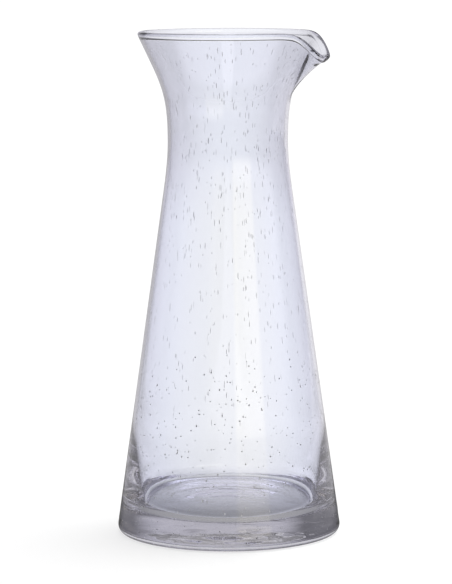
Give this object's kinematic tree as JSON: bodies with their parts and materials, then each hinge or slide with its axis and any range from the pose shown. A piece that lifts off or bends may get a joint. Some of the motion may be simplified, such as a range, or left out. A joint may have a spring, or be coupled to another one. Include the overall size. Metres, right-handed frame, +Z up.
{
  "type": "glass pitcher",
  "caption": "Handleless carafe of pale seeded glass with a heavy round base, straight cone body, waisted neck, flared mouth and pulled pouring spout.",
  "frame": {"origin": "middle of the standing face, on the axis of the vessel", "axes": "+Z up along the axis of the vessel, +X towards the spout, metres"},
  "size_m": [0.1156, 0.1156, 0.26],
  "materials": {
    "seeded_glass": "clear glossy glass with a faint lavender-grey tint and small air bubbles all through it"
  },
  "bodies": {
    "root": {"base": "seeded_glass", "body": "seeded_glass", "neck": "seeded_glass", "flare": "seeded_glass", "spout": "seeded_glass", "rim": "seeded_glass"}
  },
  "joints": []
}
